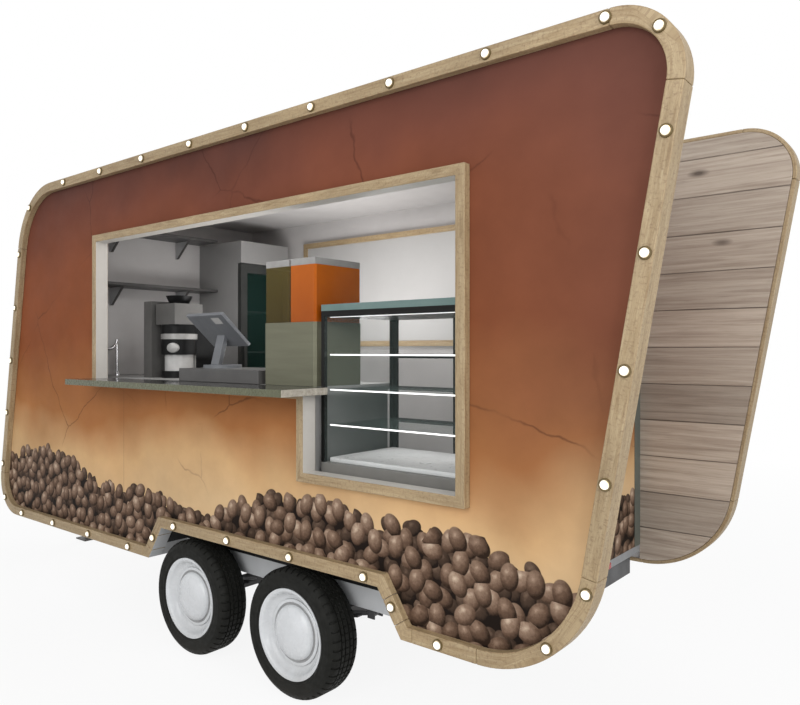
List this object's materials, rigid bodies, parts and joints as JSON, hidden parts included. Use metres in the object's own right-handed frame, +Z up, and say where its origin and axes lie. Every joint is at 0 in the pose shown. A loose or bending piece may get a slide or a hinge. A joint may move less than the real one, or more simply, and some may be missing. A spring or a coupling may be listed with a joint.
{
  "type": "coffee trailer",
  "caption": "Coffee trailer with leaning bulb-rimmed side panels, a stepped serving window with a counter slab, a fitted cabin, rear door, road wheels, drawbar and jack.",
  "frame": {"origin": "on the ground under the middle of the overall box", "axes": "+X to the rear, away from the drawbar; serving side faces -Y; +Z up"},
  "size_m": [6.1416, 2.013, 2.844],
  "materials": {
    "grey_steel": "satin grey painted steel",
    "dark_steel": "dark satin paint",
    "printed_panel": "printed satin laminate",
    "white_panel": "smooth white sheet",
    "grey_floor": "grey studded sheet",
    "timber": "oiled pale timber",
    "plank": "weathered planks",
    "bulb": "frosted globe",
    "tyre": "black rubber",
    "wheel_paint": "pale grey gloss paint",
    "stone": "polished stone",
    "cabinet": "dark laminate board",
    "black_frame": "black powder coat",
    "clear_glass": "clear glass",
    "steel": "brushed steel",
    "drink": "clear tank of juice",
    "machine": "banded grey and black housing",
    "terminal": "grey moulded plastic",
    "chrome": "bright plate",
    "fridge": "light grey enamel",
    "lamp": "red lens",
    "corner": "grey-green anodised strip",
    "board": "blank white board"
  },
  "bodies": {
    "trailer": {"axle_front": "dark_steel", "axle_rear": "dark_steel", "case_stand": "cabinet", "chassis_rails": "grey_steel", "coffee_machine": "machine", "corner_strips": "corner", "counter": "cabinet", "counter_slab": "stone", "coupling": "dark_steel", "cross_members": "grey_steel", "display_case": "black_frame", "display_glass": "clear_glass", "door_hinges": "steel", "drawbar": "grey_steel", "drawbar_gusset": "grey_steel", "drinks_dispenser": "steel", "drinks_tanks": "drink", "floor": "grey_floor", "fridge": "fridge", "fridge_pins": "steel", "front_wall": "printed_panel", "jack_tube": "grey_steel", "leaf_springs": "dark_steel", "menu_board": "board", "plain_bulbs": "bulb", "plain_linings": "plank", "plain_rim": "timber", "plain_wall": "printed_panel", "plain_well": "grey_steel", "rear_wall": "printed_panel", "roof": "white_panel", "sales_terminal": "terminal", "serving_bulbs": "bulb", "serving_linings": "plank", "serving_rim": "timber", "serving_wall": "printed_panel", "serving_well": "grey_steel", "spring_hangers": "dark_steel", "tail_lamps": "lamp", "tap": "chrome", "wall_shelves": "steel", "window_frame": "timber"},
    "door": {"door": "printed_panel", "door_handle": "steel"},
    "fridge_door": {"fridge_door": "black_frame", "fridge_pane": "clear_glass"},
    "jack_leg": {"jack_leg": "grey_steel"},
    "serving_front_wheel": {"tyre_serving_front": "tyre", "wheel_serving_front": "wheel_paint"},
    "serving_rear_wheel": {"tyre_serving_rear": "tyre", "wheel_serving_rear": "wheel_paint"},
    "plain_front_wheel": {"tyre_plain_front": "tyre", "wheel_plain_front": "wheel_paint"},
    "plain_rear_wheel": {"tyre_plain_rear": "tyre", "wheel_plain_rear": "wheel_paint"}
  },
  "joints": [
    {"name": "serving_front_roll", "type": "hinge", "parent": "trailer", "child": "serving_front_wheel", "pos_m": [0.38816, -0.739, 0.3125], "axis": [0, 1, 0], "continuous": true},
    {"name": "serving_rear_roll", "type": "hinge", "parent": "trailer", "child": "serving_rear_wheel", "pos_m": [1.20416, -0.739, 0.3125], "axis": [0, 1, 0], "continuous": true},
    {"name": "plain_front_roll", "type": "hinge", "parent": "trailer", "child": "plain_front_wheel", "pos_m": [0.38816, 0.896, 0.3125], "axis": [0, 1, 0], "continuous": true},
    {"name": "plain_rear_roll", "type": "hinge", "parent": "trailer", "child": "plain_rear_wheel", "pos_m": [1.20416, 0.896, 0.3125], "axis": [0, 1, 0], "continuous": true},
    {"name": "door_swing", "type": "hinge", "parent": "trailer", "child": "door", "pos_m": [2.27916, 0.461, 0.581], "axis": [0, 0, 1], "range_deg": [0, 110]},
    {"name": "fridge_door_swing", "type": "hinge", "parent": "trailer", "child": "fridge_door", "pos_m": [-0.65884, 0.8185, 0.571], "axis": [0, 0, 1], "range_deg": [0, 90]},
    {"name": "jack_slide", "type": "slide", "parent": "trailer", "child": "jack_leg", "axis": [0, 0, 1], "range_m": [0, 0.25]}
  ]
}
